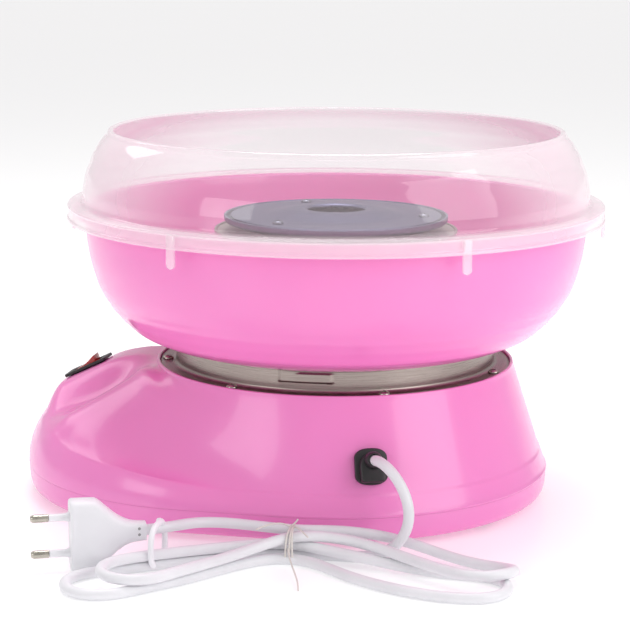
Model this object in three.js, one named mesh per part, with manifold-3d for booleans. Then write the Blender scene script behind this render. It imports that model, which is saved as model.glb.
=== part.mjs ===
// Household cotton candy machine, in millimetres, +Z up, resting on z = 0.
// The nose with the switch points to -Y and the mains lead leaves on the +X side.
// Angles called "azimuth" are degrees from +X; angles called "turn" are degrees from the nose.
import * as THREE from 'three';
import { mergeVertices } from 'three/addons/utils/BufferGeometryUtils.js';
import Module from 'manifold-3d';

const wasm = await Module();
wasm.setup();

// Driving dimensions
const RING_R = 145; // outside of the splash guard's ring
const RIM_Z = 200.4; // top of the splash guard
const BODY_R = 117; // round part of the base, at the parting line
const NOSE_R = 114.5; // rounding of the nose, in plan
const NOSE_SHIFT = 56; // from the bowl's axis to the nose's centre
const AXIS_Y = (NOSE_SHIFT + NOSE_R - RING_R) / 2; // bowl axis, with the origin at the middle of the box
const GAP = 0.3; // between pieces that touch
const WALL = 2.2; // moulded plastic wall
const SHEET = 1; // pressed steel
const ROUND = 40; // facets of the large round pieces

const FLOOR_Z = 3; // underside of the bottom cover
const PART_Z = 16.5; // parting line of cover and housing
const LEDGE_Z = 71.5; // ledge that carries the collar
const LEDGE_R = 88;
const LIP_R = 97.6;
const LIP_Z = 75;
const RECESS_R = 95.8;
const SHIELD_Z = 60; // underside of the heat shield's floor
const DRUM_R = 87;
const DRUM_TOP = 85.6;
const NECK_R = 85.4; // bowl's neck, inside the drum
const PLATE_Z = 144; // underside of the heater can's top plate
const SHAFT_R = 3;
const RUN = 0.06; // running clearance on the shaft
const PIN_Z = 141;
const SCREW_HOLE = 1.7;

const COLLAR_SCREWS = 7;
const COLLAR_SCREW_R = 91.5;
const COLLAR_SCREW_AZIMUTH = -26;
const TRACKS = 3;
const TRACK_AZIMUTH = -0.4;
const TRACK_SPAN = 18.6; // degrees
const TABS = 6;
const TAB_AZIMUTH = -24.5;

const rad = THREE.MathUtils.degToRad;
const machine = new THREE.Group();
machine.position.y = AXIS_Y;
const table = new THREE.Group();
const model = new THREE.Group();
model.add(machine, table);

// Materials
function material(color, roughness, metalness = 0, opacity = 1) {
  return new THREE.MeshStandardMaterial({ color, roughness, metalness, opacity, transparent: opacity < 1 });
}
const PINK = material(0xf279b8, 0.25);
const CLEAR = material(0xfdf0f8, 0.08, 0, 0.35);
const STEEL = material(0xb5aba6, 0.35, 1);
const DARK_STEEL = material(0x8b8d91, 0.45, 1);
const ALUMINIUM = material(0x8f8da0, 0.4, 1);
const BRONZE = material(0xb08a4e, 0.4, 1);
const NICKEL = material(0xcfc9b8, 0.2, 1);
const BLACK = material(0x252022, 0.5);
const RED = material(0xb02a2c, 0.3);
const RUBBER = material(0x3a3638, 0.85);
const CERAMIC = material(0xe9e4da, 0.6);
const WHITE = material(0xf4f3f6, 0.4);

// Geometry and booleans
function tidy(geometry) {
  const plain = geometry.clone();
  plain.deleteAttribute('normal');
  plain.deleteAttribute('uv');
  return mergeVertices(plain, 1e-3);
}

function solid(geometry) {
  const merged = tidy(geometry);
  const points = merged.attributes.position.array;
  const index = Array.from(merged.index.array);
  const faces = [];
  let volume = 0;
  for (let i = 0; i < index.length; i += 3) {
    const [a, b, c] = index.slice(i, i + 3);
    if (a === b || b === c || c === a) continue;
    faces.push([a, b, c]);
    const corner = [a, b, c].map((k) => new THREE.Vector3().fromArray(points, 3 * k));
    volume += corner[0].dot(corner[1].cross(corner[2]));
  }
  const outward = volume > 0 ? faces : faces.map(([a, b, c]) => [a, c, b]);
  const mesh = new wasm.Mesh({
    numProp: 3,
    vertProperties: Float32Array.from(points),
    triVerts: Uint32Array.from(outward.flat()),
  });
  return new wasm.Manifold(mesh);
}

function add(name, shape, look, parent = machine) {
  const { vertProperties, triVerts } = shape.getMesh();
  const geometry = new THREE.BufferGeometry();
  geometry.setAttribute('position', new THREE.BufferAttribute(Float32Array.from(vertProperties), 3));
  geometry.setIndex(Array.from(triVerts));
  geometry.computeVertexNormals();
  const mesh = new THREE.Mesh(geometry, look);
  mesh.name = name;
  parent.add(mesh);
}

function union(shapes) {
  return shapes.reduce((whole, shape) => whole.add(shape));
}

function cut(whole, shapes) {
  return shapes.reduce((rest, shape) => rest.subtract(shape), whole);
}

// Solid of revolution about Z from [radius, z] corners; the profile closes on itself or on the axis.
function turned(corners, facets = ROUND) {
  const profile = corners.map(([r, z]) => new THREE.Vector2(r, z));
  const onAxis = corners[0][0] === 0 && corners.at(-1)[0] === 0;
  if (!onAxis) profile.push(profile[0].clone());
  return solid(new THREE.LatheGeometry(profile, facets).rotateX(Math.PI / 2));
}

function rod(radius, low, high, facets = 12) {
  const bar = new THREE.CylinderGeometry(radius, radius, high - low, facets).rotateX(Math.PI / 2);
  return solid(bar.translate(0, 0, (low + high) / 2));
}

function block(width, depth, low, high) {
  return solid(new THREE.BoxGeometry(width, depth, high - low).translate(0, 0, (low + high) / 2));
}

// Outline in the XY plane, raised from low to high.
function raised(outline, low, high) {
  const shape = outline instanceof THREE.Shape ? outline : new THREE.Shape(outline);
  const options = { depth: high - low, bevelEnabled: false, curveSegments: 4 };
  return solid(new THREE.ExtrudeGeometry(shape, options).translate(0, 0, low));
}

// Part of a ring between two radii, centred on an azimuth.
function sector(inner, outer, azimuth, span, low, high) {
  const from = rad(azimuth - span / 2);
  const to = rad(azimuth + span / 2);
  const shape = new THREE.Shape();
  shape.absarc(0, 0, outer, from, to, false);
  shape.absarc(0, 0, inner, to, from, true);
  return raised(shape, low, high);
}

function polar(radius, azimuth) {
  return [radius * Math.cos(rad(azimuth)), radius * Math.sin(rad(azimuth))];
}

function moved(shape, x, y, z = 0) {
  return shape.translate([x, y, z]);
}

// Plan of the base: a circle about the bowl's axis joined to the nose's circle by tangents.
function outlineRadius(turn) {
  const angle = Math.abs(rad(turn));
  const tangent = Math.acos((BODY_R - NOSE_R) / NOSE_SHIFT);
  const noseEnd = Math.atan2(NOSE_R * Math.sin(tangent), NOSE_SHIFT + NOSE_R * Math.cos(tangent));
  if (angle < noseEnd) {
    const across = NOSE_SHIFT * Math.sin(angle);
    return NOSE_SHIFT * Math.cos(angle) + Math.sqrt(NOSE_R ** 2 - across ** 2);
  }
  return angle < tangent ? BODY_R / Math.cos(tangent - angle) : BODY_R;
}

const HALF_TURNS = [0, 5, 9, 12.5, 16.2, 19.5, 22.5, 25, 28, 32, 37, 43, 50, 58, 67, 77, 90, 105, 120, 135, 150, 165];
const TURNS = [...HALF_TURNS, 180, ...HALF_TURNS.slice(1).reverse().map((turn) => -turn)];

// Closed solid from a [radius, z] profile for each turn; the ends close on the axis.
function lofted(profileAt) {
  const rows = profileAt(0).length;
  const points = [];
  for (const turn of TURNS) {
    for (const [r, z] of profileAt(turn)) {
      points.push(r * Math.sin(rad(turn)), -r * Math.cos(rad(turn)), z);
    }
  }
  const first = TURNS.length * rows;
  points.push(0, 0, profileAt(0)[0][1], 0, 0, profileAt(0)[rows - 1][1]);
  const index = [];
  TURNS.forEach((_, column) => {
    const here = column * rows;
    const next = ((column + 1) % TURNS.length) * rows;
    for (let row = 0; row < rows - 1; row += 1) {
      index.push(here + row, next + row, next + row + 1, here + row, next + row + 1, here + row + 1);
    }
    index.push(first, next, here, first + 1, here + rows - 1, next + rows - 1);
  });
  const geometry = new THREE.BufferGeometry();
  geometry.setAttribute('position', new THREE.BufferAttribute(Float32Array.from(points), 3));
  geometry.setIndex(index);
  return solid(geometry);
}

function mix(a, b, t) {
  return a + (b - a) * t;
}

function smooth(from, to, value) {
  return THREE.MathUtils.smoothstep(value, from, to);
}

function between(stops, value) {
  const next = Math.max(1, stops.findIndex(([at]) => at >= value));
  const [a, fa] = stops[next - 1];
  const [b, fb] = stops[next];
  return mix(fa, fb, (value - a) / (b - a));
}

// Top surface of the base. It runs from the collar's lip (share 0) to the crease above the wall (share 1).
const SHARES = [0, 0.14, 0.28, 0.4444, 0.57, 0.7, 0.8626, 0.94, 1];
const NOSE_HALF = 22.5; // the ridges beside the switch pad, in degrees from the nose
const SHOULDER_Z = 73.4;
const NOSE_CREASE = 41;
const CREASE_HEIGHTS = [
  [0, NOSE_CREASE], [22.5, NOSE_CREASE], [29, 37.4], [37, 35.6], [45, 34], [58, 30.5], [70, 28], [180, 27],
];
const CREASE_INSETS = [[0, 9], [22, 8.6], [45, 6], [90, 4.2], [180, 4.2]];
const CROWN = [[0, 73.4], [0.14, 73.6], [0.28, 71.8], [0.4444, 69.3], [0.8626, 56.5], [0.94, 50.2], [1, NOSE_CREASE]];
const RIDGE = [
  [0, 73.4], [0.14, 72.8], [0.28, 67.5], [0.4444, 62], [0.57, 58], [0.7, 53.8], [0.8626, 48.2], [1, NOSE_CREASE],
];
const VALLEY_AT = 0.72;
const VALLEY_DEPTH = 6;

function noseHeight(turn, share) {
  const across = Math.abs(turn) / NOSE_HALF;
  const crown = between(CROWN, share);
  const ridge = between(RIDGE, share);
  const valley = ridge - VALLEY_DEPTH * Math.sin(Math.PI * share);
  if (across < VALLEY_AT) return mix(crown, valley, smooth(0.22, VALLEY_AT, across));
  return mix(valley, ridge, ((across - VALLEY_AT) / (1 - VALLEY_AT)) ** 1.5);
}

function sideHeight(turn, share) {
  const angle = Math.abs(turn);
  const crease = between(CREASE_HEIGHTS, angle);
  const ridge = (between(RIDGE, share) - NOSE_CREASE) / (SHOULDER_Z - NOSE_CREASE);
  const scoop = (1 - share) ** 2.1;
  const cone = 1 - share;
  const hollow = mix(scoop, cone, smooth(52, 96, angle));
  return mix(crease, SHOULDER_Z, mix(ridge, hollow, smooth(NOSE_HALF + 1, 50, angle)));
}

function topPoint(turn, share) {
  const edge = outlineRadius(turn) - between(CREASE_INSETS, Math.abs(turn));
  const height = Math.abs(turn) < NOSE_HALF ? noseHeight(turn, share) : sideHeight(turn, share);
  return [mix(LIP_R, edge, share), height];
}

function wallPoints(turn, inset) {
  const radius = outlineRadius(turn);
  const crease = between(CREASE_HEIGHTS, Math.abs(turn));
  const lean = between(CREASE_INSETS, Math.abs(turn));
  const height = crease - PART_Z;
  const bow = mix(2.2, 1, smooth(58, 95, Math.abs(turn))); // upright and rounded at the nose, straight at the back
  return [
    [radius - inset, PART_Z + GAP],
    [radius - inset - lean * 0.5 ** bow, PART_Z + height * 0.5],
    [radius - inset - lean * 0.82 ** bow, PART_Z + height * 0.82],
  ];
}

function housingOutside(turn) {
  const top = SHARES.map((share) => topPoint(turn, share)).reverse();
  return [...wallPoints(turn, 0), ...top, [LIP_R - 0.5, LIP_Z - 0.2], [LIP_R - 1, LIP_Z]];
}

function housingInside(turn) {
  const top = [0.28, 0.57, 0.843, 1].map((share) => topPoint(turn, share)).reverse();
  const lowered = top.map(([r, z]) => [r - WALL, z - WALL]);
  const wall = wallPoints(turn, WALL).slice(2);
  const mouth = [outlineRadius(turn) - WALL, PART_Z - 4];
  return [mouth, ...wall, ...lowered, [RECESS_R - 1, LEDGE_Z - 2.5]];
}

// Switch pad: a flat place on the nose that slopes to the front.
const PAD_REACH = 140; // from the bowl's axis to the pad's middle
const PAD_Z = between(CROWN, (PAD_REACH - LIP_R) / (NOSE_SHIFT + NOSE_R - CREASE_INSETS[0][1] - LIP_R));
const PAD_SLOPE = Math.atan(13.4 / 28); // fall of the crown over the pad's length
const BEZEL_LENGTH = 26;
const BEZEL_WIDTH = 16;
const WINDOW_LENGTH = 17.6;
const WINDOW_WIDTH = 11;

// Moves a shape drawn at the origin, with Z out of the pad and Y up the slope, onto the pad.
function onPad(shape) {
  const slope = THREE.MathUtils.radToDeg(PAD_SLOPE);
  return moved(shape.rotate([slope, 0, 0]), 0, -PAD_REACH, PAD_Z);
}

// Strain relief: a hole through the side wall, with its axis square to the wall.
const GLAND_AZIMUTH = 19;
const GLAND_Z = 41;
const GLAND_R = 108.4;
const GLAND_TILT = 20;

// Moves a shape drawn at the origin, with X out of the wall, onto the wall.
function onWall(shape) {
  const [x, y] = polar(GLAND_R, GLAND_AZIMUTH);
  return moved(shape.rotate([0, -GLAND_TILT, 0]).rotate([0, 0, GLAND_AZIMUTH]), x, y, GLAND_Z);
}

const BASE_SCREWS = [[-79, -66], [79, -66], [-52, 88], [52, 88]];
const FEET = [[-48, -100], [48, -100], [-64, 54], [64, 54]];

function collarScrewPlaces() {
  const step = 360 / COLLAR_SCREWS;
  return Array.from({ length: COLLAR_SCREWS }, (_, i) => polar(COLLAR_SCREW_R, COLLAR_SCREW_AZIMUTH + i * step));
}

function baseHousing() {
  const outside = lofted(housingOutside);
  const shell = outside.subtract(lofted(housingInside));
  const posts = union(BASE_SCREWS.map(([x, y]) => moved(rod(4.5, 6, 90), x, y))).intersect(outside);
  const ledgeHoles = collarScrewPlaces().map(([x, y]) => moved(rod(SCREW_HOLE, 60, 80, 8), x, y));
  const postHoles = BASE_SCREWS.map(([x, y]) => moved(rod(SCREW_HOLE, 0, 24, 8), x, y));
  return cut(shell.add(posts), [
    rod(RECESS_R, LEDGE_Z, 90, ROUND),
    rod(LEDGE_R, 60, 90, ROUND),
    onPad(block(13.4, 20.4, -20, 20)),
    onWall(block(40, 12.6, -6.8, 6.8)),
    ...ledgeHoles,
    ...postHoles,
  ]);
}

function bottomCover() {
  const skirt = (turn) => {
    const r = outlineRadius(turn);
    return [[r - 5, FLOOR_Z], [r - 1.6, 5.5], [r - 0.5, 9], [r - 0.2, PART_Z]];
  };
  const hollow = (turn) => {
    const r = outlineRadius(turn) - WALL;
    return [[r - 3.6, FLOOR_Z + WALL], [r - 0.5, 9], [r - 0.2, PART_Z + 5]];
  };
  const vents = [-20, -10, 0, 10, 20].map((x) => moved(block(4, 34, 0, 10), x, 0));
  const holes = BASE_SCREWS.map(([x, y]) => moved(rod(SCREW_HOLE + 0.5, 0, 10, 8), x, y));
  return cut(lofted(skirt).subtract(lofted(hollow)), [...vents, ...holes]);
}

function foot() {
  return turned([[0, 0], [8, 0], [9, 1], [8.6, FLOOR_Z - GAP], [0, FLOOR_Z - GAP]], 12);
}

// Screw along Z: shank from low to seat, head above the seat (or below it when the head is negative).
function screw(low, seat, head, headRadius = 3) {
  const shank = rod(1.35, low, seat + head * 0.2, 6);
  const dome = [[0, seat], [headRadius, seat], [headRadius * 0.8, seat + head * 0.7], [0, seat + head]];
  return shank.add(turned(dome, 10));
}

function baseScrew() {
  const head = [[0, FLOOR_Z - GAP], [3.2, FLOOR_Z - GAP], [2.8, 1.4], [0, 1.2]];
  return rod(1.35, 2, 20, 6).add(turned(head, 10));
}

const FLANGE_LOW = LEDGE_Z + 2 * GAP + 0.8;

function steelCollar() {
  const flange = FLANGE_LOW + SHEET;
  const wall = DRUM_R - SHEET;
  const pressed = turned([
    [wall, FLANGE_LOW], [RECESS_R - 0.6, FLANGE_LOW], [RECESS_R - 0.6, flange], [DRUM_R + 1.8, flange],
    [DRUM_R + 0.5, flange + 0.5], [DRUM_R, flange + 1.8], [DRUM_R, DRUM_TOP], [wall, DRUM_TOP],
  ]);
  const bulges = [];
  const channels = [];
  for (let i = 0; i < TRACKS; i += 1) {
    const azimuth = TRACK_AZIMUTH + (i * 360) / TRACKS;
    const entry = azimuth - TRACK_SPAN / 2 + 3.5;
    bulges.push(sector(wall + 0.5, DRUM_R + 1.6, azimuth, TRACK_SPAN, 79, 84.4));
    bulges.push(sector(wall + 0.5, DRUM_R + 1.6, entry, 7, 83, DRUM_TOP));
    channels.push(sector(wall - 2, DRUM_R + 0.7, azimuth, TRACK_SPAN - 1.4, 80, 83.5));
    channels.push(sector(wall - 2, DRUM_R + 0.7, entry, 5.6, 82, DRUM_TOP + 2));
  }
  const holes = collarScrewPlaces().map(([x, y]) => moved(rod(SCREW_HOLE, 70, 80, 8), x, y));
  return cut(union([pressed, ...bulges]), [...channels, ...holes]);
}

function heatShield() {
  const brim = LEDGE_Z + GAP;
  const dish = turned([
    [9.4, SHIELD_Z], [81, SHIELD_Z], [83.4, brim], [94, brim], [94, brim + 0.8], [82.6, brim + 0.8],
    [80.2, SHIELD_Z + SHEET], [9.4, SHIELD_Z + SHEET],
  ]);
  const rim = collarScrewPlaces().map(([x, y]) => moved(rod(SCREW_HOLE, 70, 80, 8), x, y));
  const middle = mountPlaces().map(([x, y]) => moved(rod(SCREW_HOLE, 50, 70, 8), x, y));
  return cut(dish, [...rim, ...middle]);
}

function heaterCan() {
  const floor = SHIELD_Z + SHEET + GAP;
  return turned([
    [51, floor], [57, floor], [57, floor + SHEET], [52, floor + SHEET], [52, PLATE_Z], [66, PLATE_Z],
    [66, PLATE_Z + 1.2], [44, PLATE_Z + 1.2], [44, PLATE_Z], [51, PLATE_Z],
  ], 32);
}

const HEATER_R = 36;
const HEATER_Z = 135;

function heaterRing() {
  const tube = new THREE.TorusGeometry(HEATER_R, 3.5, 6, 24).translate(0, 0, HEATER_Z);
  const legs = [70, 90].map((azimuth) => moved(rod(2.4, 67, HEATER_Z, 6), ...polar(HEATER_R, azimuth)));
  return union([solid(tube), ...legs]);
}

function heaterPost() {
  const low = SHIELD_Z + SHEET + GAP;
  return turned([[0, low], [5.5, low], [5.5, low + 6], [4, low + 8], [4, HEATER_Z - 3.8], [0, HEATER_Z - 3.8]], 12);
}

function mountPlaces() {
  return [30, 150, 270].map((azimuth) => polar(24, azimuth));
}

const MOTOR_TOP = 53;

function motorMount() {
  const low = MOTOR_TOP + GAP;
  const plate = turned([[9.6, low], [29, low], [29, low + 1.6], [9.6, low + 1.6]], 20);
  const spacers = mountPlaces().map(([x, y]) => moved(rod(3.6, low, SHIELD_Z - GAP, 10), x, y));
  const holes = mountPlaces().map(([x, y]) => moved(rod(SCREW_HOLE, 40, 70, 8), x, y));
  return cut(union([plate, ...spacers]), holes);
}

function motorBody() {
  const bore = SHAFT_R + RUN;
  return turned([
    [bore, 14], [7, 14], [7, 16], [18, 16], [20, 18], [20, MOTOR_TOP - 1], [19, MOTOR_TOP],
    [bore, MOTOR_TOP],
  ], 20);
}

function shaftBush() {
  const bore = SHAFT_R + RUN;
  const seat = SHIELD_Z + SHEET + GAP;
  return turned([[bore, 56], [9, 56], [9, seat], [12, seat], [12, seat + 1.6], [bore, seat + 1.6]], 16);
}

function motorShaft() {
  const bar = turned([[0, 7], [SHAFT_R - 0.4, 7], [SHAFT_R, 7.6], [SHAFT_R, 151], [2, 152], [0, 152]], 16);
  return bar.subtract(moved(rod(1.3, -10, 10, 8).rotate([0, 90, 0]), 0, 0, PIN_Z));
}

function coolingFan() {
  const hub = turned([[SHAFT_R + 0.2, 7.6], [7, 7.6], [7, 12.4], [SHAFT_R + 0.2, 12.4]], 16);
  const blades = Array.from({ length: 6 }, (_, i) => {
    const blade = block(13, 1.2, -2, 2).rotate([35, 0, 0]);
    return moved(blade, 12.5, 0, 10).rotate([0, 0, i * 60]);
  });
  return union([hub, ...blades]);
}

const HEAD_SCREW_R = 48;

function headScrewPlaces() {
  return [90, 210, 330].map((azimuth) => polar(HEAD_SCREW_R, azimuth));
}

function extractorPan() {
  const dish = turned([
    [SHAFT_R + RUN, 139], [9, 139], [9, 148.6], [56, 148.6], [60.6, 150.6], [60.6, 153.6], [59.4, 153.6],
    [59, 151.6], [55.6, 149.8], [SHAFT_R + RUN, 149.8],
  ], 32);
  const holes = headScrewPlaces().map(([x, y]) => moved(rod(SCREW_HOLE, 140, 160, 8), x, y));
  return cut(dish, [block(24, 2.6, 138, PIN_Z + 1.3), ...holes]);
}

function extractorCap() {
  const cap = turned([
    [57, 152.4], [57, 153.6], [39, 153.8], [27, 156], [22, 157], [17, 157.1], [15.4, 156.2],
    [15.4, 155.2], [21.6, 155.6], [26.4, 154.6], [38.4, 152.5], [44, 152.4],
    [44, 150.2], [52, 150.2], [52, 152.4],
  ], 32);
  const slots = [30, 150, 270].map((azimuth) => sector(40, 53, azimuth, 96, 149, 152.3));
  const holes = headScrewPlaces().map(([x, y]) => moved(rod(SCREW_HOLE, 140, 160, 8), x, y));
  return cut(cap, [...slots, ...holes]);
}

function hubCap() {
  return turned([
    [0, 152.4], [SHAFT_R + 0.2, 152.4], [SHAFT_R + 0.2, 150.1], [7.5, 150.1], [7.5, 152.6], [5, 154.2], [0, 154.6],
  ], 12);
}

function flossBowl() {
  const rim = 158.8;
  const shell = turned([
    [82.6, 78], [NECK_R, 78], [NECK_R, DRUM_TOP + GAP], [91, 86.2], [99, 88.6], [107.5, 92.3], [114.5, 97.8],
    [119.8, 103.5], [124.1, 109.4], [128.9, 118.2], [131.8, 127.6], [133.8, 137], [135.4, 156],
    [142.2, 156.2], [142.2, rim], [133.2, rim], [131.6, 139], [127.8, 124.5], [121.4, 109.4], [111.2, 97.6],
    [92, 89.4], [78.6, 88.6], [77.2, 99.4], [75, 99.4], [75, DRUM_TOP + GAP], [82.6, DRUM_TOP + GAP],
  ]);
  const lugs = [];
  for (let i = 0; i < TRACKS; i += 1) {
    const entry = TRACK_AZIMUTH - TRACK_SPAN / 2 + 3.5 + (i * 360) / TRACKS;
    lugs.push(sector(NECK_R - 1, DRUM_R + 0.2, entry, 4.4, 80.5, 83));
  }
  return union([shell, ...lugs]);
}

function guardTab(azimuth) {
  const shape = new THREE.Shape();
  shape.moveTo(-2.5, 160.4);
  shape.lineTo(-2.5, 145.5);
  shape.absarc(0, 145.5, 2.5, Math.PI, 2 * Math.PI, false);
  shape.lineTo(2.5, 160.4);
  const options = { depth: 1.9, bevelEnabled: false, curveSegments: 4 };
  const bar = new THREE.ExtrudeGeometry(shape, options).rotateX(Math.PI / 2).rotateZ(Math.PI / 2);
  return solid(bar.translate(RING_R - 1.9, 0, 0)).rotate([0, 0, azimuth]);
}

function splashGuard() {
  const shell = turned([
    [143, 152.9], [RING_R, 152.9], [RING_R, 155], [144.3, 155.6], [144.3, 160.6], [143.4, 161.2], [137.2, 161.4],
    [136.4, 168.9], [135.3, 174.9], [133.4, 181], [130.8, 187.3], [127.2, 193.4], [123.6, 198.4],
    [122, RIM_Z - 0.3], [120.6, RIM_Z], [119.6, RIM_Z - 0.8], [121.6, 197], [127.4, 188], [132.4, 178], [134.6, 168.6],
    [135, 159.2], [143, 159.2],
  ]);
  const tabs = Array.from({ length: TABS }, (_, i) => guardTab(TAB_AZIMUTH + (i * 360) / TABS));
  return union([shell, ...tabs]);
}

function switchBezel() {
  const plate = block(BEZEL_WIDTH, BEZEL_LENGTH, 0.5, 2.1);
  const body = block(12.6, 19.6, -15, 1);
  const window = block(WINDOW_WIDTH, WINDOW_LENGTH, -9, 10);
  return onPad(plate.add(body).subtract(window));
}

// The rocker turns about a line across the pad, level with its surface.
function switchRocker() {
  const outline = [
    [-6.6, 1.9], [0, 2.8], [6.6, 5.4], [5.7, -5.4], [0, -7.4], [-5, -5.4],
  ].map(([along, out]) => new THREE.Vector2(along, out));
  const prism = raised(outline, -WINDOW_WIDTH / 2 + 0.5, WINDOW_WIDTH / 2 - 0.5);
  return onPad(prism.rotate([90, 0, 0]).rotate([0, 0, 90]));
}

function strainRelief() {
  const face = new THREE.Shape();
  face.moveTo(-8.4, -6);
  face.bezierCurveTo(-5, -10.6, 5, -10.6, 8.4, -6);
  face.lineTo(8.4, 6);
  face.bezierCurveTo(5, 10.6, -5, 10.6, -8.4, 6);
  face.closePath();
  const plate = raised(face, 0.8, 4).rotate([90, 0, 0]).rotate([0, 0, 90]);
  const bulge = moved(block(6, 12.4, -8.4, 6), 6, 0, 0);
  const neck = block(16, 11.8, -6.2, 6.2);
  return onWall(union([plate, bulge, moved(neck, -5, 0)]));
}

function terminalBlock() {
  const body = block(30, 12, FLOOR_Z + WALL + GAP, 17);
  const poles = [-10, 0, 10].map((x) => moved(rod(2.6, 12, 30, 8), x, 0));
  return cut(body, poles);
}

function thermalCutout() {
  return turned([[0, 52], [6, 52], [6, 56], [8, 56], [8, SHIELD_Z - GAP], [0, SHIELD_Z - GAP]], 16);
}

// Mains lead. It leaves the gland, hangs to the table, runs through a flat hank and ends in a plug.
const CORD_R = 2.7;
const LEAD_ROUTE = [
  [112.3, 51.7, 47.6], [117.5, 54.6, 48.9], [122.5, 60, 47.6], [126.6, 65.6, 42.8], [129.3, 70, 35.5],
  [130.3, 72, 28], [130.3, 71.4, 19.4],
];
const PLUG_ROUTE = [
  [127, 10.9, 13.6], [126, 0, 14], [124.5, -12, 14.4], [124.5, -19, 14.6], [125.8, -26.4, 15], [129.6, -32.9, 15.6],
  [135.3, -37.7, 16.4], [144.5, -43, 17.4], [149.7, -47.3, 17.8], [154.4, -53.9, 17.9],
];
const HANK_RIGHT = [
  [125, 15.6], [116, 30], [112.5, 50], [114, 82], [124, 108], [140, 128], [160, 137], [182, 136],
  [198, 124], [200, 100], [193, 76], [177, 50], [158, 30], [143, 15.6],
];
const HANK_LEFT = [
  [143, 12.4], [152, 6], [178, -10], [200, -30], [216, -50], [223, -74], [212, -90], [196, -91],
  [182, -80], [177.5, -64], [160, -50], [146, -34], [134, -12], [126, 12.4],
];
const TIE_Y = 14;

function cordTube(route, segments) {
  const curve = new THREE.CatmullRomCurve3(route.map((point) => new THREE.Vector3(...point)));
  const ring = new THREE.Shape();
  ring.absarc(0, 0, CORD_R, 0, 2 * Math.PI, false);
  const options = { steps: segments, extrudePath: curve, curveSegments: 4 };
  return solid(new THREE.ExtrudeGeometry(ring, options));
}

function hank(outline, height) {
  return raised(outline.map(([x, y]) => new THREE.Vector2(x, y)), 0.2, height);
}

function cordTie() {
  return moved(block(17, 2.4, 0.2, 16.8), 134, TIE_Y);
}

// Plug, standing on its narrow edge with its pins level.
const PLUG_FACE = [169.5, -88.7];
const PLUG_HEADING = -67; // azimuth that the pins point to
const PLUG_HEIGHT = 35.3;
const PLUG_THICK = 13.6;
const PIN_HALF_GAP = 9;
const PLUG_MIDDLE = PLUG_HEIGHT / 2 + 0.2;

// Moves a shape drawn with X along the pins, from the plug's face, to the plug's place.
function atPlug(shape) {
  return moved(shape.rotate([0, 0, PLUG_HEADING]), ...PLUG_FACE, PLUG_MIDDLE);
}

function plugBody() {
  const half = PLUG_HEIGHT / 2;
  const side = new THREE.Shape();
  side.moveTo(0, -half);
  side.lineTo(0, half);
  side.lineTo(-12, half);
  side.bezierCurveTo(-20, half, -22, 5, -37, 4.6);
  side.lineTo(-37, -4.6);
  side.bezierCurveTo(-22, -5, -20, -half, -12, -half);
  side.closePath();
  const body = raised(side, -PLUG_THICK / 2, PLUG_THICK / 2).rotate([90, 0, 0]);
  const sleeves = [-PIN_HALF_GAP, PIN_HALF_GAP].map((z) => moved(rod(1.9, -1, 10, 10).rotate([0, 90, 0]), 0, 0, z));
  return atPlug(union([body, ...sleeves]));
}

function plugPin(z) {
  const pin = turned([[0, 10 + GAP], [2, 10 + GAP], [2, 18], [1.2, 19], [0, 19]], 12);
  return atPlug(moved(pin.rotate([0, 90, 0]), 0, 0, z));
}

// Assembly
add('base_housing', baseHousing(), PINK);
add('bottom_cover', bottomCover(), PINK);
FEET.forEach(([x, y], i) => add(`foot_${i + 1}`, moved(foot(), x, y), RUBBER));
BASE_SCREWS.forEach(([x, y], i) => add(`base_screw_${i + 1}`, moved(baseScrew(), x, y), DARK_STEEL));
add('steel_collar', steelCollar(), STEEL);
collarScrewPlaces().forEach(([x, y], i) => {
  add(`collar_screw_${i + 1}`, moved(screw(66, FLANGE_LOW + SHEET + GAP, 1.8), x, y), NICKEL);
});
add('heat_shield', heatShield(), DARK_STEEL);
add('heater_can', heaterCan(), STEEL);
add('heater_ring', heaterRing(), DARK_STEEL);
[20, 140, 260].forEach((azimuth, i) => {
  add(`heater_post_${i + 1}`, moved(heaterPost(), ...polar(HEATER_R, azimuth)), CERAMIC);
});
add('motor_mount', motorMount(), DARK_STEEL);
mountPlaces().forEach(([x, y], i) => {
  add(`mount_screw_${i + 1}`, moved(screw(54.6, SHIELD_Z + SHEET + GAP, 1.8), x, y), DARK_STEEL);
});
add('motor_body', motorBody(), DARK_STEEL);
add('shaft_bush', shaftBush(), BRONZE);
add('motor_shaft', motorShaft(), STEEL);
add('drive_pin', moved(rod(1, -7.6, 7.6, 8).rotate([0, 90, 0]), 0, 0, PIN_Z), STEEL);
add('cooling_fan', coolingFan(), BLACK);
add('extractor_pan', extractorPan(), ALUMINIUM);
add('extractor_cap', extractorCap(), ALUMINIUM);
headScrewPlaces().forEach(([x, y], i) => {
  add(`head_screw_${i + 1}`, moved(screw(147.4, 154.2, 1.6), x, y), NICKEL);
});
add('hub_cap', hubCap(), ALUMINIUM);
add('floss_bowl', flossBowl(), PINK);
add('splash_guard', splashGuard(), CLEAR);
add('switch_bezel', switchBezel(), BLACK);
add('switch_rocker', switchRocker(), RED);
add('strain_relief', strainRelief(), BLACK);
add('terminal_block', moved(terminalBlock(), -62, 34), WHITE);
add('thermal_cutout', moved(thermalCutout(), ...polar(44, 215)), BLACK);
add('cord_lead_tube', cordTube(LEAD_ROUTE, 18), WHITE, table);
add('cord_hank_right', hank(HANK_RIGHT, 16.4), WHITE, table);
add('cord_tie', cordTie(), WHITE, table);
add('cord_hank_left', hank(HANK_LEFT, 9.4), WHITE, table);
add('cord_plug_tube', cordTube(PLUG_ROUTE, 20), WHITE, table);
add('plug_body', plugBody(), WHITE, table);
[-PIN_HALF_GAP, PIN_HALF_GAP].forEach((z, i) => add(`plug_pin_${i + 1}`, plugPin(z), NICKEL, table));

export default model;
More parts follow.
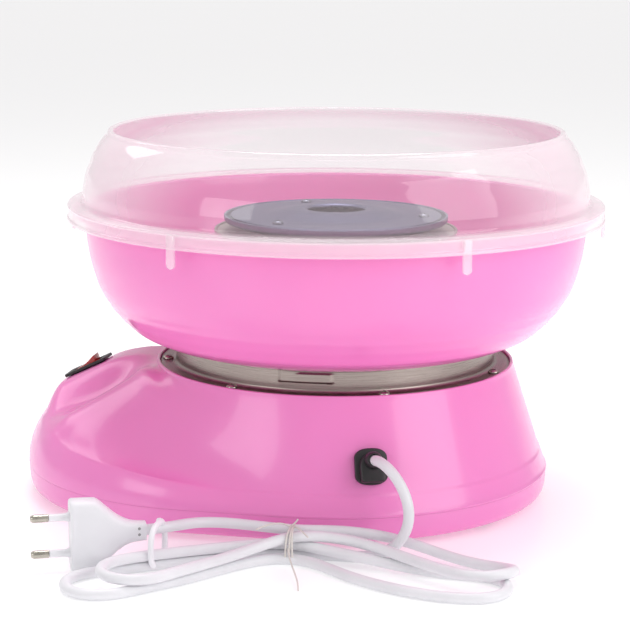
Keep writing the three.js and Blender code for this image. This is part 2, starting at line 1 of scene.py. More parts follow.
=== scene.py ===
"""Looks of the household cotton candy machine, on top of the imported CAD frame.

Lengths in the shape functions are millimetres, turned to metres when a mesh is made. Machine pieces are drawn
round the bowl's axis, which stands at y = AXIS_Y; the mains lead is drawn in the frame itself.
"""
import math

import bmesh
import bpy
from mathutils import Matrix, Vector


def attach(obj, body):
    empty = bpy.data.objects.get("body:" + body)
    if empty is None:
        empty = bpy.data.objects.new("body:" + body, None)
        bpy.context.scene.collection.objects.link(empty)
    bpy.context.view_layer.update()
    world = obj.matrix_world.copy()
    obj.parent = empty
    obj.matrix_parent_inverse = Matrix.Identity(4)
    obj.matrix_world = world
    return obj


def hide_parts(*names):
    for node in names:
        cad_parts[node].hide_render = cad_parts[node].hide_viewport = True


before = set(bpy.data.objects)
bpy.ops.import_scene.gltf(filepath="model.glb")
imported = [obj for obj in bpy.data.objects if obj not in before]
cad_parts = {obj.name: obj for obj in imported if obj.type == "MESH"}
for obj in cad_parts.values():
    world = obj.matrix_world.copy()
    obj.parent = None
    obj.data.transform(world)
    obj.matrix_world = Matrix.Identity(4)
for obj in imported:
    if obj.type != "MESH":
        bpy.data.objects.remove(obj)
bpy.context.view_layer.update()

MM = 0.001
AXIS_Y = 12.75
BODY_R = 117.0
NOSE_R = 114.5
NOSE_SHIFT = 56.0
PART_Z = 16.5
LEDGE_Z = 71.5
LIP_R = 97.6
LIP_Z = 75.0
RECESS_R = 95.8
DRUM_R = 87.0
DRUM_TOP = 85.6
NECK_R = 85.4
RING_R = 145.0
COLLAR_SCREW_R = 91.5
WALL = 2.2
FEET = ((-48, -100), (48, -100), (-64, 54), (64, 54))
BASE_SCREWS = ((-79, -66), (79, -66), (-52, 88), (52, 88))


def rad(degrees):
    return math.radians(degrees)


def polar(radius, azimuth):
    return radius * math.cos(rad(azimuth)), radius * math.sin(rad(azimuth))


# ---------------------------------------------------------------- camera, stage and light
def camera():
    data = bpy.data.cameras.new("camera")
    data.lens = 117.9
    data.sensor_width = 36
    data.clip_start = 0.05
    data.clip_end = 60
    eye = bpy.data.objects.new("camera", data)
    bpy.context.collection.objects.link(eye)
    level = Vector((-0.9848, -0.1736, 0))
    pitch = 0.1935
    look = (level * math.cos(pitch) - Vector((0, 0, math.sin(pitch)))).normalized()
    turn = look.to_track_quat("-Z", "Y").to_matrix().to_4x4()
    eye.matrix_world = Matrix.Translation((1.0945, 0.1944, 0.3151)) @ turn @ Matrix.Rotation(0.0054, 4, "Z")
    bpy.context.scene.camera = eye


def softbox(name, azimuth, distance, height, width, tall, power):
    """A soft rectangular lamp in metres and watts, aimed at the middle of the machine."""
    data = bpy.data.lights.new(name, "AREA")
    data.shape = "RECTANGLE"
    data.size = width
    data.size_y = tall
    data.energy = power
    lamp = bpy.data.objects.new(name, data)
    bpy.context.collection.objects.link(lamp)
    place = Vector((distance * math.cos(rad(azimuth)), distance * math.sin(rad(azimuth)), height))
    turn = (Vector((0, 0, 0.1)) - place).to_track_quat("-Z", "Y").to_matrix().to_4x4()
    lamp.matrix_world = Matrix.Translation(place) @ turn


def studio():
    world = bpy.data.worlds.new("studio")
    bpy.context.scene.world = world
    world.use_nodes = True
    shade = world.node_tree.nodes["Background"]
    shade.inputs["Color"].default_value = (1, 0.985, 0.99, 1)
    shade.inputs["Strength"].default_value = 0.62
    softbox("key_right", 64, 1.35, 0.7, 0.95, 1.1, 8)
    softbox("top", 190, 0.3, 1.35, 0.8, 0.8, 11)
    softbox("fill_left", -38, 1.6, 0.6, 0.7, 0.6, 3.2)
    softbox("rim_left", -115, 1.1, 1.0, 0.4, 0.6, 1.3)
    bpy.context.scene.view_settings.view_transform = "Standard"
    mesh = bpy.data.meshes.new("floor")
    half = 14
    corners = [(-half, -half, 0), (half, -half, 0), (half, half, 0), (-half, half, 0)]
    mesh.from_pydata(corners, [], [(0, 1, 2, 3)])
    floor = bpy.data.objects.new("floor", mesh)
    bpy.context.collection.objects.link(floor)
    look = Look("floor_paper")
    look.shader.inputs["Base Color"].default_value = (0.82, 0.82, 0.825, 1)
    look.shader.inputs["Roughness"].default_value = 0.22
    look.shader.inputs["Emission Color"].default_value = (1, 1, 1, 1)
    look.shader.inputs["Emission Strength"].default_value = 0.32
    mesh.materials.append(look.material)


# ---------------------------------------------------------------- materials
class Look:
    """A Principled material with helpers for the procedural nodes that feed it."""

    def __init__(self, name, **values):
        self.material = bpy.data.materials.new(name)
        self.material.use_nodes = True
        self.tree = self.material.node_tree
        self.shader = self.tree.nodes["Principled BSDF"]
        for socket, value in values.items():
            self.shader.inputs[socket.replace("_", " ").title()].default_value = value

    def node(self, kind, **settings):
        made = self.tree.nodes.new(kind)
        for key, value in settings.items():
            setattr(made, key, value)
        return made

    def link(self, source, target):
        self.tree.links.new(source, target)

    def place(self):
        """Object coordinates, in metres."""
        return self.node("ShaderNodeTexCoord").outputs["Object"]

    def noise(self, scale, detail=3.0, vector=None, rough=0.5):
        made = self.node("ShaderNodeTexNoise")
        made.inputs["Scale"].default_value = scale
        made.inputs["Detail"].default_value = detail
        made.inputs["Roughness"].default_value = rough
        self.link(vector or self.place(), made.inputs["Vector"])
        return made.outputs["Fac"]

    def ramp(self, factor, low, high, start=0.3, end=0.7):
        made = self.node("ShaderNodeMapRange")
        made.inputs["From Min"].default_value = start
        made.inputs["From Max"].default_value = end
        made.inputs["To Min"].default_value = low
        made.inputs["To Max"].default_value = high
        self.link(factor, made.inputs["Value"])
        return made.outputs["Result"]

    def colours(self, factor, *stops):
        made = self.node("ShaderNodeValToRGB")
        band = made.color_ramp
        band.elements[0].position, band.elements[0].color = stops[0][0], (*stops[0][1], 1)
        band.elements[1].position, band.elements[1].color = stops[-1][0], (*stops[-1][1], 1)
        for at, colour in stops[1:-1]:
            band.elements.new(at).color = (*colour, 1)
        self.link(factor, made.inputs["Fac"])
        self.link(made.outputs["Color"], self.shader.inputs["Base Color"])

    def roughness(self, factor, low, high):
        self.link(self.ramp(factor, low, high), self.shader.inputs["Roughness"])

    def bump(self, height, strength, distance):
        made = self.node("ShaderNodeBump")
        made.inputs["Strength"].default_value = strength
        made.inputs["Distance"].default_value = distance
        self.link(height, made.inputs["Height"])
        self.link(made.outputs["Normal"], self.shader.inputs["Normal"])

    def around_axis(self, radial, upright, turning):
        """Coordinates that run round the bowl's axis, each part with its own scale."""
        shift = self.node("ShaderNodeVectorMath", operation="SUBTRACT")
        shift.inputs[1].default_value = (0, AXIS_Y * MM, 0)
        self.link(self.place(), shift.inputs[0])
        parts = self.node("ShaderNodeSeparateXYZ")
        self.link(shift.outputs["Vector"], parts.inputs["Vector"])
        flat = self.node("ShaderNodeCombineXYZ")
        self.link(parts.outputs["X"], flat.inputs["X"])
        self.link(parts.outputs["Y"], flat.inputs["Y"])
        length = self.node("ShaderNodeVectorMath", operation="LENGTH")
        self.link(flat.outputs["Vector"], length.inputs[0])
        angle = self.node("ShaderNodeMath", operation="ARCTAN2")
        self.link(parts.outputs["Y"], angle.inputs[0])
        self.link(parts.outputs["X"], angle.inputs[1])
        whole = self.node("ShaderNodeCombineXYZ")
        for source, socket, scale in (
            (length.outputs["Value"], "X", radial),
            (parts.outputs["Z"], "Y", upright),
            (angle.outputs["Value"], "Z", turning),
        ):
            times = self.node("ShaderNodeMath", operation="MULTIPLY")
            times.inputs[1].default_value = scale
            self.link(source, times.inputs[0])
            self.link(times.outputs["Value"], whole.inputs[socket])
        return whole.outputs["Vector"]


def pink_plastic():
    look = Look("pink_gloss_plastic", coat_weight=0.35, coat_roughness=0.06, subsurface_weight=0.12)
    look.shader.inputs["Subsurface Radius"].default_value = (0.012, 0.004, 0.006)
    look.shader.inputs["Subsurface Scale"].default_value = 1.0
    look.colours(look.noise(9, 2), (0.3, (0.86, 0.225, 0.55)), (0.7, (0.9, 0.25, 0.585)))
    look.roughness(look.noise(160, 4), 0.2, 0.27)
    look.bump(look.noise(520, 2), 0.06, 0.0004)
    return look.material


def clear_plastic():
    """Clear walls with a faint milky veil, thicker where seen edge on and on the ring round the foot. The
    veil glows faintly: painted light that brightens the walls where the lamps reach them poorly through the
    clear layers.
    """
    # faint pinkish emission: painted light, a glow on the milky veil standing in for light that the lamps
    # don't get through the clear walls
    look = Look("clear_tinted_plastic", base_color=(0.95, 0.83, 0.88, 1), emission_strength=0.09)
    look.shader.inputs["Emission Color"].default_value = (1, 0.9, 0.93, 1)
    look.roughness(look.noise(60, 3), 0.05, 0.09)
    look.bump(look.noise(45, 2), 0.05, 0.0006)
    weight = look.node("ShaderNodeLayerWeight")
    weight.inputs["Blend"].default_value = 0.4
    parts = look.node("ShaderNodeSeparateXYZ")
    look.link(look.place(), parts.inputs["Vector"])
    milky = look.node("ShaderNodeMath", operation="MAXIMUM")
    look.link(look.ramp(weight.outputs["Facing"], 0.09, 0.8, 0.15, 0.95), milky.inputs[0])
    look.link(look.ramp(parts.outputs["Z"], 0.32, 0.0, 0.1612, 0.1635), milky.inputs[1])
    clear = look.node("ShaderNodeBsdfTransparent")
    glowing_veil = look.node("ShaderNodeMixShader")
    look.link(milky.outputs["Value"], glowing_veil.inputs["Fac"])
    look.link(clear.outputs["BSDF"], glowing_veil.inputs[1])
    look.link(look.shader.outputs["BSDF"], glowing_veil.inputs[2])
    shine = look.node("ShaderNodeBsdfGlossy")
    shine.inputs["Roughness"].default_value = 0.06
    side = look.node("ShaderNodeNewGeometry")
    front = look.node("ShaderNodeMath", operation="SUBTRACT")
    front.inputs[0].default_value = 1
    look.link(side.outputs["Backfacing"], front.inputs[1])
    amount = look.node("ShaderNodeMath", operation="MULTIPLY")
    look.link(look.ramp(weight.outputs["Facing"], 0.05, 0.3, 0.2, 1.0), amount.inputs[0])
    look.link(front.outputs["Value"], amount.inputs[1])
    whole = look.node("ShaderNodeMixShader")
    look.link(amount.outputs["Value"], whole.inputs["Fac"])
    look.link(glowing_veil.outputs["Shader"], whole.inputs[1])
    look.link(shine.outputs["BSDF"], whole.inputs[2])
    look.link(whole.outputs["Shader"], look.tree.nodes["Material Output"].inputs["Surface"])
    return look.material


def spun_steel():
    look = Look("spun_steel", metallic=1.0, anisotropic=0.5)
    lines = look.noise(1.0, 5, look.around_axis(5200, 5200, 6), 0.65)
    look.colours(lines, (0.3, (0.23, 0.19, 0.175)), (0.7, (0.42, 0.36, 0.33)))
    look.roughness(lines, 0.24, 0.4)
    look.bump(lines, 0.12, 0.00006)
    return look.material


def satin_aluminium():
    look = Look("satin_aluminium", metallic=0.85)
    lines = look.noise(1.0, 4, look.around_axis(3200, 2400, 5), 0.6)
    look.colours(lines, (0.3, (0.085, 0.085, 0.15)), (0.7, (0.16, 0.155, 0.24)))
    look.roughness(lines, 0.36, 0.5)
    look.bump(lines, 0.12, 0.00008)
    return look.material


def plain_metal(name, low, high, rough, scale=220):
    look = Look(name, metallic=1.0)
    grain = look.noise(scale, 4)
    look.colours(grain, (0.3, low), (0.7, high))
    look.roughness(look.noise(scale * 2, 3), rough - 0.06, rough + 0.08)
    look.bump(grain, 0.1, 0.0001)
    return look.material


def plain_plastic(name, low, high, rough, grain=700, depth=0.0003, coat=0.0):
    look = Look(name, coat_weight=coat)
    look.colours(look.noise(40, 3), (0.3, low), (0.7, high))
    look.roughness(look.noise(300, 3), rough - 0.05, rough + 0.07)
    look.bump(look.noise(grain, 3), 0.12, depth)
    return look.material


def cord_sheath():
    look = Look("white_sheath", subsurface_weight=0.08)
    look.shader.inputs["Subsurface Radius"].default_value = (0.003, 0.003, 0.003)
    look.colours(look.noise(60, 3), (0.3, (0.75, 0.75, 0.78)), (0.7, (0.8, 0.8, 0.83)))
    look.roughness(look.noise(260, 3), 0.34, 0.46)
    look.bump(look.noise(900, 2), 0.08, 0.0002)
    return look.material


# ---------------------------------------------------------------- shape helpers
def make(name, points, faces, material, body=None, axis=True, sharp=32):
    """A piece from points in millimetres, smooth except across edges sharper than the given angle."""
    lift = AXIS_Y if axis else 0.0
    mesh = bpy.data.meshes.new(name)
    mesh.from_pydata([(x * MM, (y + lift) * MM, z * MM) for x, y, z in points], [], faces)
    made = bpy.data.objects.new(name, mesh)
    bpy.context.collection.objects.link(made)
    finish_mesh(made, material, sharp)
    if body:
        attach(made, body)
    return made


def finish_mesh(made, material, sharp=32):
    work = bmesh.new()
    work.from_mesh(made.data)
    bmesh.ops.remove_doubles(work, verts=work.verts, dist=1e-7)
    bmesh.ops.recalc_face_normals(work, faces=work.faces)
    work.to_mesh(made.data)
    work.free()
    made.data.materials.clear()
    if material:
        made.data.materials.append(material)
    made.data.shade_smooth()
    made.data.set_sharp_from_angle(angle=rad(sharp))


def settle(made):
    """Applies the piece's modifiers to its mesh."""
    graph = bpy.context.evaluated_depsgraph_get()
    mesh = bpy.data.meshes.new_from_object(made.evaluated_get(graph))
    made.modifiers.clear()
    made.data = mesh


def boolean(target, cutters, operation="DIFFERENCE"):
    for cutter in cutters:
        step = target.modifiers.new("cut", "BOOLEAN")
        step.object = cutter
        step.operation = operation
        step.solver = "EXACT"
        settle(target)
        bpy.data.objects.remove(cutter)
    target.data.shade_smooth()
    target.data.set_sharp_from_angle(angle=rad(32))


def bevelled(made, width, segments=3, angle=30):
    step = made.modifiers.new("round", "BEVEL")
    step.width = width * MM
    step.segments = segments
    step.limit_method = "ANGLE"
    step.angle_limit = rad(angle)
    step.use_clamp_overlap = True
    settle(made)
    made.data.shade_smooth()
    made.data.set_sharp_from_angle(angle=rad(40))
    return made


def filleted(corners, steps=4, closed=True):
    """Rounds each (a, b, radius) corner of an outline with a short curve."""
    count = len(corners)
    outline = []
    for i, corner in enumerate(corners):
        point = Vector(corner[:2])
        radius = corner[2] if len(corner) > 2 else 0
        if radius == 0 or (not closed and i in (0, count - 1)):
            outline.append(tuple(point))
            continue
        before = Vector(corners[i - 1][:2])
        after = Vector(corners[(i + 1) % count][:2])
        to_before = before - point
        to_after = after - point
        reach = min(radius, to_before.length * 0.48, to_after.length * 0.48)
        a = point + to_before.normalized() * reach
        b = point + to_after.normalized() * reach
        for k in range(steps + 1):
            t = k / steps
            outline.append(tuple((1 - t) ** 2 * a + 2 * t * (1 - t) * point + t * t * b))
    return outline


def through(points, per=6):
    """Smooth curve through points of any dimension (centripetal Catmull-Rom), ends included."""
    knots = [Vector(p) for p in points]
    knots = [knots[0] * 2 - knots[1], *knots, knots[-1] * 2 - knots[-2]]
    curve = []
    for i in range(1, len(knots) - 2):
        p0, p1, p2, p3 = knots[i - 1 : i + 3]
        t0 = 0.0
        t1 = t0 + math.sqrt((p1 - p0).length)
        t2 = t1 + math.sqrt((p2 - p1).length)
        t3 = t2 + math.sqrt((p3 - p2).length)
        for k in range(per):
            t = t1 + (t2 - t1) * k / per
            a1 = p0 * ((t1 - t) / (t1 - t0)) + p1 * ((t - t0) / (t1 - t0))
            a2 = p1 * ((t2 - t) / (t2 - t1)) + p2 * ((t - t1) / (t2 - t1))
            a3 = p2 * ((t3 - t) / (t3 - t2)) + p3 * ((t - t2) / (t3 - t2))
            b1 = a1 * ((t2 - t) / (t2 - t0)) + a2 * ((t - t0) / (t2 - t0))
            b2 = a2 * ((t3 - t) / (t3 - t1)) + a3 * ((t - t1) / (t3 - t1))
            curve.append(tuple(b1 * ((t2 - t) / (t2 - t1)) + b2 * ((t - t1) / (t2 - t1))))
    curve.append(tuple(knots[-2]))
    return curve


def relaxed(line, spacing, passes):
    """The same line at even spacing, with its tightest bends eased and both ends kept."""
    points = [Vector(p) for p in line]
    even = [points[0]]
    carried = 0.0
    for a, b in zip(points, points[1:]):
        span = (b - a).length
        while carried + span >= spacing:
            a = a + (b - a) * ((spacing - carried) / span)
            span = (b - a).length
            carried = 0.0
            even.append(a)
        carried += span
    even[-1] = points[-1]
    for _ in range(passes):
        eased = [(even[i - 1] + even[i] * 2 + even[i + 1]) / 4 for i in range(2, len(even) - 2)]
        even[2:-2] = eased
    return [tuple(p) for p in even]


def smooth_stops(stops):
    """Monotone cubic through (at, value) stops."""
    xs = [float(s[0]) for s in stops]
    ys = [float(s[1]) for s in stops]
    slopes = [(ys[i + 1] - ys[i]) / (xs[i + 1] - xs[i]) for i in range(len(xs) - 1)]
    tangents = [slopes[0]]
    for a, b in zip(slopes, slopes[1:]):
        tangents.append(0.0 if a * b <= 0 else 2 * a * b / (a + b))
    tangents.append(slopes[-1])

    def value(x):
        i = min(max(sum(1 for at in xs[1:-1] if at <= x), 0), len(xs) - 2)
        width = xs[i + 1] - xs[i]
        t = min(max((x - xs[i]) / width, 0.0), 1.0)
        h00 = 2 * t**3 - 3 * t**2 + 1
        h10 = t**3 - 2 * t**2 + t
        h01 = -2 * t**3 + 3 * t**2
        h11 = t**3 - t**2
        return h00 * ys[i] + h10 * width * tangents[i] + h01 * ys[i + 1] + h11 * width * tangents[i + 1]

    return value


def mix(a, b, t):
    return a + (b - a) * t


def ease(start, end, value):
    t = min(max((value - start) / (end - start), 0.0), 1.0)
    return t * t * (3 - 2 * t)


def ring_faces(columns, rows, closed=True):
    """Quads of a grid whose columns run round and whose rows close on themselves if asked."""
    faces = []
    last = rows if closed else rows - 1
    for c in range(columns):
        here = c * rows
        there = ((c + 1) % columns) * rows
        for r in range(last):
            up = (r + 1) % rows
            faces.append((here + r, there + r, there + up, here + up))
    return faces


def revolve(name, outline, material, body, segments=160, closed=True, sharp=32):
    """Solid of revolution about the bowl's axis from (radius, z) points."""
    points = []
    for s in range(segments):
        c, d = math.cos(2 * math.pi * s / segments), math.sin(2 * math.pi * s / segments)
        points += [(r * c, r * d, z) for r, z in outline]
    return make(name, points, ring_faces(segments, len(outline), closed), material, body, sharp=sharp)


def extrude(outline, low, high):
    """Points and faces of a prism over an (x, y) outline."""
    count = len(outline)
    points = [(x, y, low) for x, y in outline] + [(x, y, high) for x, y in outline]
    faces = [tuple(reversed(range(count))), tuple(range(count, 2 * count))]
    for i in range(count):
        j = (i + 1) % count
        faces.append((i, j, count + j, count + i))
    return points, faces


def rounded_box(width, depth, low, high, corner, steps=5):
    w, d = width / 2, depth / 2
    outline = filleted([(-w, -d, corner), (w, -d, corner), (w, d, corner), (-w, d, corner)], steps)
    return extrude(outline, low, high)


def turned_points(points, matrix):
    return [tuple(matrix @ Vector(p)) for p in points]


def tube(name, line, radius, material, body, axis=False, sides=6):
    """A round bar along a line of points, as a curve piece of one open spline."""
    data = bpy.data.curves.new(name, "CURVE")
    data.dimensions = "3D"
    data.bevel_depth = radius * MM
    data.bevel_resolution = sides
    data.use_fill_caps = True
    spline = data.splines.new("POLY")
    spline.points.add(len(line) - 1)
    lift = AXIS_Y if axis else 0.0
    for point, (x, y, z) in zip(spline.points, line):
        point.co = (x * MM, (y + lift) * MM, z * MM, 1)
    spline.use_smooth = True
    made = bpy.data.objects.new(name, data)
    bpy.context.collection.objects.link(made)
    data.materials.append(material)
    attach(made, body)
    return made


# ---------------------------------------------------------------- mains lead
def fold(centre, radius, start, end, heights):
    """Points of a hairpin turn in the lead, one for each height, from one azimuth to another."""
    step = (end - start) / (len(heights) - 1)
    return [
        (centre[0] + polar(radius, start + i * step)[0], centre[1] + polar(radius, start + i * step)[1], z)
        for i, z in enumerate(heights)
    ]


LEAD = [
    (106.2, 49.6, 45.2), (109.1, 50.6, 46.3), (112.3, 51.7, 47.5), (116.8, 53.8, 48.6), (121.6, 58, 48.2),
    (126, 64.2, 43.6), (129, 69.4, 36), (130.4, 72, 28), (130.4, 71.8, 20.4), (130.3, 68.8, 13),
    (130.3, 63.4, 7.2), (130.5, 56.4, 3.8), (130.8, 48, 2.8), (131.3, 38, 2.8), (131.6, 27, 2.8),
    (131.4, 14, 2.8),
]
LOOP_LEFT_LOW = [
    (134, 2, 2.8), (141, -11, 2.8), (150, -27, 2.8), (160, -44, 2.8), (170, -60, 2.8),
    *fold((194.6, -66.8), 17.4, 212, 405, [2.8] * 8),
    (195, -43, 2.8), (183, -31, 2.8), (168.5, -19.5, 2.8), (155.5, -9.5, 2.8),
    (144.8, 1, 2.8), (139.6, 14, 2.8),
]
LOOP_RIGHT_LOW = [
    (144.6, 27, 2.8), (155, 39, 2.8), (165.6, 52, 2.8), (173.6, 66, 2.8), (180, 81, 2.8), (183.2, 95, 2.8),
    *fold((166.2, 107), 17.4, -5, 185, [2.8] * 8),
    (148.6, 94, 2.8), (146.8, 82, 3), (143.6, 64, 4.4), (139.6, 38, 7.2), (133.6, 14, 8.3),
]
LOOP_LEFT_HIGH = [
    (135.2, 2, 8.3), (142.4, -12, 8.3), (151, -28, 8.3), (160.5, -43.5, 8.3), (167, -53.5, 8.3),
    *fold((187, -52), 16.8, 216, 410, [8.3] * 8),
    (184.5, -29.6, 8.3), (169.5, -18.6, 8.3), (155.8, -8.6, 8.7), (145.6, 1.6, 10.6), (138, 14, 13.2),
]
LOOP_RIGHT_HIGH = [
    (134.6, 28, 13.4), (136, 46, 12.2), (141.5, 62, 10.2), (149, 76, 8.7), (157, 88, 8.3),
    *fold((150, 109), 17, -26, 163, [8.3, 8.3, 8.3, 8.3, 7.2, 5.2, 3.6, 2.8]),
    (130, 101, 3.2), (126.4, 88, 5.2), (123.8, 74, 8.6), (122.6, 58, 11.6),
    (123, 38, 13.2), (127.4, 14, 13.7),
]
PLUG_STRAND = [
    (126.4, 2, 13.9), (125, -10, 14.2), (125, -19, 14.6), (126.6, -26.4, 15.1), (130.2, -32.8, 15.8),
    (136.2, -38, 16.6), (143.4, -42.6, 17.2), (149.2, -47.6, 17.7), (153.2, -53, 17.85),
    (156.2, -59.4, 17.85),
]
CORD_R = 2.7
PLUG_FACE = (169.5, -88.7)
PLUG_HEADING = -67
PLUG_MIDDLE = 17.85


def at_plug():
    return Matrix.Translation((*PLUG_FACE, PLUG_MIDDLE)) @ Matrix.Rotation(rad(PLUG_HEADING), 4, "Z")


def plug(white, nickel, grey):
    """Flat two-pin plug on its edge: rounded sections along its length, waisted to the neck."""
    height = smooth_stops(
        [(-37, 4.5), (-31, 5), (-25, 7.4), (-19, 12), (-13.5, 16.8), (-12, 17.4), (-1, 17.65), (0, 17)]
    )
    thick = smooth_stops([(-37, 3.9), (-30, 4.4), (-20, 6.2), (-12, 6.8), (-1, 6.8), (0, 6.2)])
    stations = [-37, -36.5, *range(-35, -16, 2)]
    stations += [-15.5, -14.2, -13.2, -12.4, -11, -8, -5, -2, -1, -0.4, 0]
    points = []
    for x in stations:
        h, w = height(x), thick(x)
        corner = min(w * 0.75, h * 0.6)
        outline = filleted([(-w, -h, corner), (w, -h, corner), (w, h, corner), (-w, h, corner)], 5)
        points += [(x, y, z) for y, z in outline]
    rows = len(points) // len(stations)
    faces = []
    for c in range(len(stations) - 1):
        for r in range(rows):
            here, there, up = c * rows, (c + 1) * rows, (r + 1) % rows
            faces.append((here + r, there + r, there + up, here + up))
    faces.append(tuple(range(rows)))
    faces.append(tuple(reversed(range(len(points) - rows, len(points)))))
    shell = make("plug_shell", turned_points(points, at_plug()), faces, white, "base", axis=False)
    parts = [shell]
    for side, z in (("upper", 9), ("lower", -9)):
        sleeve = [(0, -0.5), (2.6, -0.4, 0.5), (2.45, 0.6), (1.9, 2.2, 0.6), (1.85, 10), (0, 10)]
        metal = [(0, 10.3), (1.95, 10.3), (2, 17.6, 1.2), (1.3, 18.9, 0.5), (0, 19)]
        parts.append(plug_turned(f"plug_sleeve_{side}", sleeve, z, white))
        parts.append(plug_turned(f"plug_tip_{side}", metal, z, nickel))
    for i, z in enumerate((2.1, -0.9)):
        dot = [(0, -0.4), (0.75, -0.4), (0.75, 0.1, 0.2), (0, 0.12)]
        turn = at_plug() @ Matrix.Translation((-33.4, 4.15, z)) @ Matrix.Rotation(rad(90), 4, "Z")
        parts.append(turned_piece(f"plug_mark_{i + 1}", dot, turn, grey, 12))
    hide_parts("plug_body")
    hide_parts("plug_pin_2")
    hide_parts("plug_pin_1")
    return parts


def turned_piece(name, corners, matrix, material, segments=24, body="base", axis=False):
    """Small solid of revolution whose axis is local X, moved by a matrix."""
    outline = filleted(corners, 4, closed=False)
    points = []
    for s in range(segments):
        c, d = math.cos(2 * math.pi * s / segments), math.sin(2 * math.pi * s / segments)
        points += [(x, r * c, r * d) for r, x in outline]
    faces = ring_faces(segments, len(outline), False)
    return make(name, turned_points(points, matrix), faces, material, body, axis)


def plug_turned(name, corners, z, material):
    return turned_piece(name, corners, at_plug() @ Matrix.Translation((0, 0, z)), material)


def cord(white, moulded, twine, nickel, grey):
    route = LEAD + LOOP_LEFT_LOW + LOOP_RIGHT_LOW + LOOP_LEFT_HIGH + LOOP_RIGHT_HIGH + PLUG_STRAND
    line = relaxed(through(route, 6), 3.0, 7)
    length = sum((Vector(a) - Vector(b)).length for a, b in zip(line, line[1:])) * MM
    lead = tube("mains_lead", line, CORD_R, white, "base")
    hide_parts("cord_lead_tube", "cord_hank_right", "cord_hank_left", "cord_plug_tube")
    loops = []
    for i in range(3):
        wrap = []
        for k in range(49):
            angle = 2 * math.pi * k / 48
            x = 133.5 + 9.8 * math.copysign(abs(math.cos(angle)) ** 0.7, math.cos(angle))
            z = 8.9 + 8.2 * math.copysign(abs(math.sin(angle)) ** 0.7, math.sin(angle))
            wrap.append((x, 14 + (i - 1) * 1.3 + 0.7 * math.sin(angle + i), z))
        loops.append(tube(f"tie_wrap_{i + 1}", wrap, 0.48, twine, "base", sides=3))
    tails = [
        [(143, 14, 9), (146, 14.6, 7.4), (151.4, 17, 4.4), (160, 20.4, 2.2), (170, 23.6, 1.2),
         (181, 26, 0.8)],
        [(133, 13, 17.2), (134, 9, 18.6), (137, 4.6, 19), (140, 1, 18.4), (143, -2, 17.6)],
        [(134, 15, 17.3), (137, 17.5, 17.8), (141, 21, 16.8), (144, 24, 15.4)],
        [(133, 13.5, 17.2), (133, 15.5, 19), (133.4, 17, 21)],
    ]
    for i, tail in enumerate(tails):
        loops.append(tube(f"tie_tail_{i + 1}", through(tail, 5), 0.42, twine, "base", sides=3))
    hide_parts("cord_tie")
    band = []
    for k in range(46):
        angle = rad(105) + 2 * math.pi * k / 45 * 0.985
        x = 158 + 10.5 * math.copysign(abs(math.cos(angle)) ** 0.8, math.cos(angle))
        z = 12.4 + 10.6 * math.copysign(abs(math.sin(angle)) ** 0.75, math.sin(angle))
        band.append((x, -48.5 - 0.12 * (x - 158) + 1.6 * k / 45, z))
    band = tube("cord_band", band, 1.5, moulded, "base", sides=4)
    return lead, length, [*plug(white, nickel, grey), *loops, band]


# ---------------------------------------------------------------- base
def outline_radius(turn):
    """Plan of the base: a circle about the axis joined to the nose's circle by tangents."""
    angle = abs(rad(turn))
    tangent = math.acos((BODY_R - NOSE_R) / NOSE_SHIFT)
    nose_end = math.atan2(NOSE_R * math.sin(tangent), NOSE_SHIFT + NOSE_R * math.cos(tangent))
    if angle < nose_end:
        return NOSE_SHIFT * math.cos(angle) + math.sqrt(NOSE_R**2 - (NOSE_SHIFT * math.sin(angle)) ** 2)
    return BODY_R / math.cos(tangent - angle) if angle < tangent else BODY_R


NOSE_HALF = 22.5
VALLEY_AT = 0.72
VALLEY_DEPTH = 6.0
SHOULDER_Z = 73.4
NOSE_CREASE = 41.0
crease_height = smooth_stops(
    [(0, 41), (22.5, 41), (29, 37.4), (37, 35.6), (45, 34), (58, 30.5), (70, 28), (180, 27)]
)
crease_inset = smooth_stops([(0, 9), (22, 8.6), (45, 6), (90, 4.2), (180, 4.2)])
crown = smooth_stops(
    [(0, 73.4), (0.14, 73.6), (0.28, 72.4), (0.4444, 69.3), (0.5, 67.6), (0.8, 58.4), (0.8626, 56.5),
     (0.94, 50.2), (1, 41)]
)
ridge = smooth_stops(
    [(0, 73.4), (0.14, 72.8), (0.28, 67.5), (0.4444, 62), (0.57, 58), (0.7, 53.8), (0.8626, 48.2), (1, 41)]
)


def nose_height(turn, share):
    across = abs(turn) / NOSE_HALF
    valley = ridge(share) - VALLEY_DEPTH * math.sin(math.pi * share)
    if across < VALLEY_AT:
        return mix(crown(share), valley, ease(0.22, VALLEY_AT, across))
    return mix(valley, ridge(share), ((across - VALLEY_AT) / (1 - VALLEY_AT)) ** 1.5)


def side_height(turn, share):
    angle = abs(turn)
    bank = (ridge(share) - NOSE_CREASE) / (SHOULDER_Z - NOSE_CREASE)
    hollow = mix((1 - share) ** 2.1, 1 - share, ease(52, 96, angle))
    return mix(crease_height(angle), SHOULDER_Z, mix(bank, hollow, ease(NOSE_HALF + 1, 50, angle)))


def top_point(turn, share):
    edge = outline_radius(turn) - crease_inset(abs(turn))
    height = nose_height(turn, share) if abs(turn) < NOSE_HALF else side_height(turn, share)
    return mix(LIP_R, edge, share), height


def wall_points(turn, inset):
    """From the parting line up to just under the crease, leaning in more and more."""
    radius = outline_radius(turn) - inset
    lean = crease_inset(abs(turn))
    height = crease_height(abs(turn)) - PART_Z
    bow = mix(2.2, 1, ease(58, 95, abs(turn)))
    points = [(radius - 0.15, PART_Z + 0.06), (radius - 0.04, PART_Z + 0.3), (radius - 0.02, PART_Z + 1)]
    for t in (0.16, 0.3, 0.42, 0.54, 0.65, 0.75, 0.84, 0.91, 0.96):
        points.append((radius - lean * 0.94 * t**bow, PART_Z + height * t))
    return points


def columns():
    """Angles from the nose, close together where the nose is sculpted."""
    half = [i * 0.75 for i in range(45)]
    half += [34 + i * 1.5 for i in range(45)]
    half += [101.5 + i * 3 for i in range(26)]
    return half + [180] + [-a for a in reversed(half[1:])]


